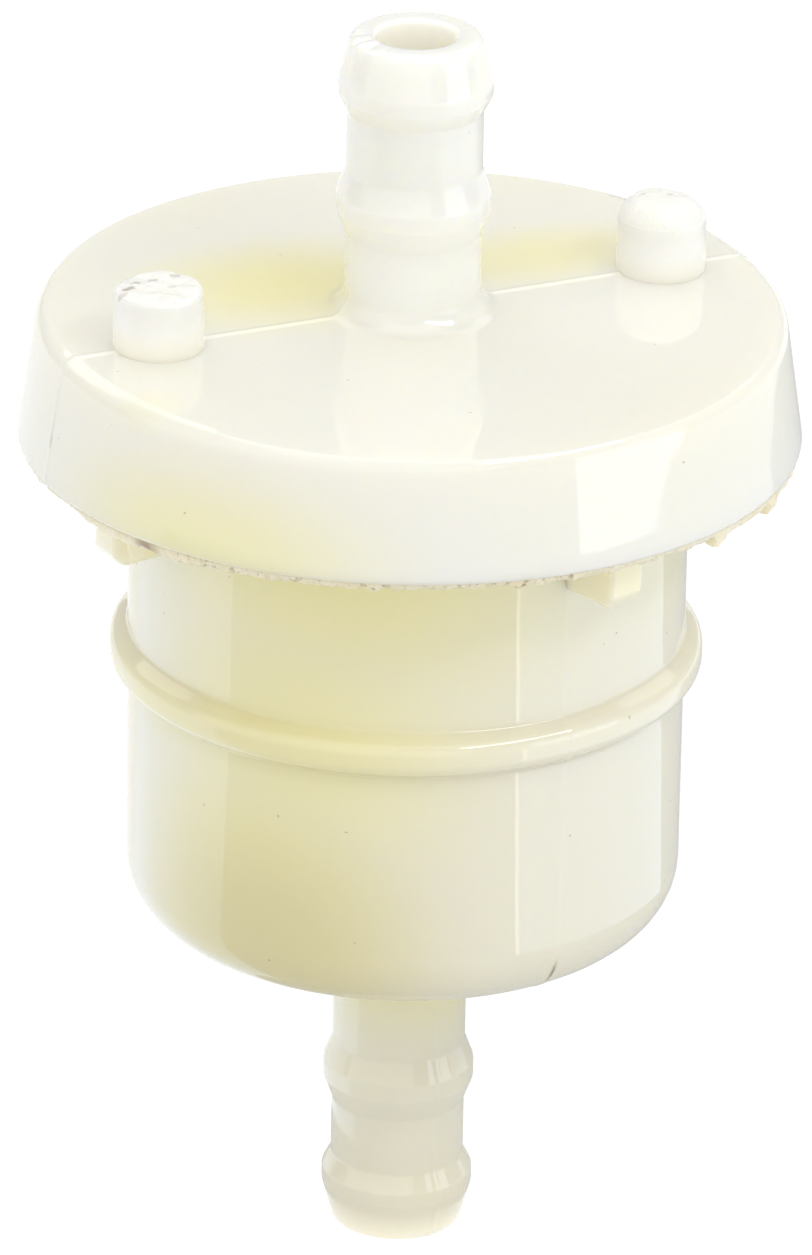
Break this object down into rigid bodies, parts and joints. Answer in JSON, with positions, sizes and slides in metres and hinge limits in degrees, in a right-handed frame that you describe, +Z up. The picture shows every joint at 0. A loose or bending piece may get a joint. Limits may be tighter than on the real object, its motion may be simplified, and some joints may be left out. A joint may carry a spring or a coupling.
{
  "type": "fuel filter",
  "caption": "Small-engine in-line fuel filter: welded nylon cap and bowl with barbed hose nozzles on one axis, and a pleated paper element sealed inside.",
  "frame": {"origin": "centre of the outlet nozzle's end face, on the flow axis", "axes": "+Z up the flow axis from the outlet to the inlet; the cap's two gate posts stand on the X axis"},
  "size_m": [0.0372, 0.0372, 0.0615],
  "materials": {
    "housing_nylon": "glossy natural nylon",
    "weld_nylon": "remelted nylon, rough edge",
    "gasket_rubber": "black nitrile rubber",
    "element_plastic": "matt moulded nylon",
    "adhesive": "cured amber adhesive",
    "filter_paper": "resin-treated filter paper",
    "seam_steel": "tinplate strip"
  },
  "bodies": {
    "root": {"bowl": "housing_nylon", "cap": "housing_nylon", "weld_bead": "weld_nylon", "outlet_gasket": "gasket_rubber", "lower_end_disc": "element_plastic", "lower_adhesive": "adhesive", "core_tube": "element_plastic", "pleated_paper": "filter_paper", "paper_seam_clip": "seam_steel", "upper_adhesive": "adhesive", "upper_end_disc": "element_plastic"}
  },
  "joints": []
}
